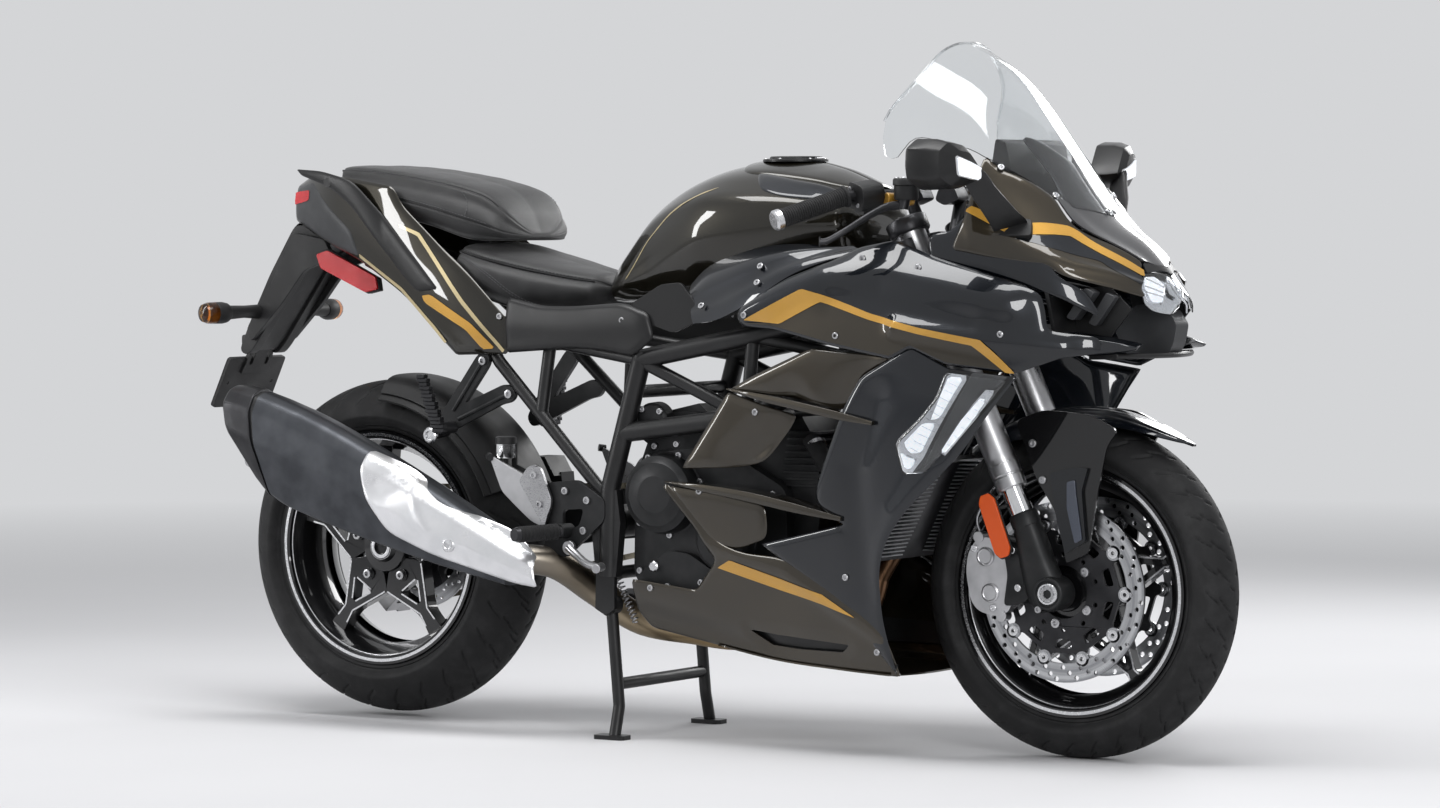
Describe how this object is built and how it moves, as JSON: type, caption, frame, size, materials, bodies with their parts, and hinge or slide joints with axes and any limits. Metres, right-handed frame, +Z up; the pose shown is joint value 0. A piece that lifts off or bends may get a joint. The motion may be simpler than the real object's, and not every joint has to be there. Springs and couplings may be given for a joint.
{
  "type": "sport touring motorcycle",
  "caption": "Fully faired sport touring motorcycle on its centre stand, with turning wheels, steering, folding stands and a hinged filler cap.",
  "frame": {"origin": "on the floor under the middle of the overall length, on the centre plane", "axes": "+X towards the front wheel, +Y to the rider's left, +Z up"},
  "size_m": [2.1735, 0.775, 1.276],
  "materials": {
    "gloss_navy": "gloss metallic",
    "charcoal": "metallic",
    "bronze": "metallic gloss",
    "black_plastic": "matt",
    "vinyl": "grained vinyl",
    "clear": "clear",
    "lamp_glass": "clear lens",
    "red_lens": "red lens",
    "amber_lens": "amber lens",
    "frame_black": "satin black paint",
    "engine_alloy": "black paint on alloy",
    "alloy": "satin silver",
    "wheel_alloy": "gloss dark paint",
    "steel": "brushed",
    "disc_steel": "ground",
    "header_steel": "heat-tinted",
    "can_steel": "dark satin",
    "tyre": "rubber"
  },
  "bodies": {
    "chassis": {"belly_cowls": "charcoal", "chin_cowl": "charcoal", "corner_lights": "lamp_glass", "drive_chain": "steel", "engine_block": "engine_alloy", "engine_covers": "engine_alloy", "exhaust_headers": "header_steel", "fairing_louvres": "charcoal", "fairing_stay": "frame_black", "frame_cross_tubes": "frame_black", "fuel_tank": "charcoal", "grab_rails": "engine_alloy", "headlight": "lamp_glass", "instrument_panel": "black_plastic", "licence_plate": "steel", "lower_side_fairings": "gloss_navy", "mirrors": "charcoal", "muffler_can": "can_steel", "muffler_end_cap": "black_plastic", "muffler_heat_shield": "steel", "nose_cowl": "bronze", "passenger_footrests": "engine_alloy", "passenger_seat": "vinyl", "radiator": "alloy", "rear_brake_caliper": "alloy", "rear_fender": "black_plastic", "rear_hugger": "black_plastic", "rear_subframe": "frame_black", "rear_turn_signals": "amber_lens", "rider_footrests": "alloy", "rider_seat": "vinyl", "side_covers": "gloss_navy", "stand_brackets": "frame_black", "steering_head": "frame_black", "swingarm": "engine_alloy", "tail_light": "red_lens", "tail_panels": "gloss_navy", "trellis_frame": "frame_black", "upper_side_fairings": "gloss_navy", "windscreen": "clear"},
    "steering": {"triple_clamps": "engine_alloy", "front_forks": "alloy", "handlebars": "black_plastic", "control_levers": "engine_alloy", "front_fender": "bronze", "front_calipers": "alloy", "front_axle": "steel"},
    "front_wheel": {"front_rim": "wheel_alloy", "front_tyre": "tyre", "front_discs": "disc_steel"},
    "rear_wheel": {"rear_rim": "wheel_alloy", "rear_tyre": "tyre", "rear_disc": "disc_steel", "rear_sprocket": "steel"},
    "centre_stand": {"centre_stand": "frame_black"},
    "side_stand": {"side_stand": "frame_black"},
    "fuel_cap": {"fuel_cap": "alloy"}
  },
  "joints": [
    {"name": "steering", "type": "hinge", "parent": "chassis", "child": "steering", "pos_m": [0.8905, 0, 0], "axis": [-0.4179, 0, 0.9085], "range_deg": [-30, 30]},
    {"name": "front_wheel_spin", "type": "hinge", "parent": "steering", "child": "front_wheel", "pos_m": [0.7875, 0, 0.3], "axis": [0, 1, 0], "continuous": true},
    {"name": "rear_wheel_spin", "type": "hinge", "parent": "chassis", "child": "rear_wheel", "pos_m": [-0.6925, 0, 0.328], "axis": [0, 1, 0], "continuous": true},
    {"name": "centre_stand_swing", "type": "hinge", "parent": "chassis", "child": "centre_stand", "pos_m": [-0.112, 0, 0.246], "axis": [0, 1, 0], "range_deg": [0, 94]},
    {"name": "side_stand_swing", "type": "hinge", "parent": "chassis", "child": "side_stand", "pos_m": [-0.072, 0.196, 0.226], "axis": [-0.028, -0.929, -0.369], "range_deg": [0, 104]},
    {"name": "fuel_cap_lid", "type": "hinge", "parent": "chassis", "child": "fuel_cap", "pos_m": [0.246, 0, 1.0675], "axis": [0, 1, 0], "range_deg": [0, 95]}
  ]
}
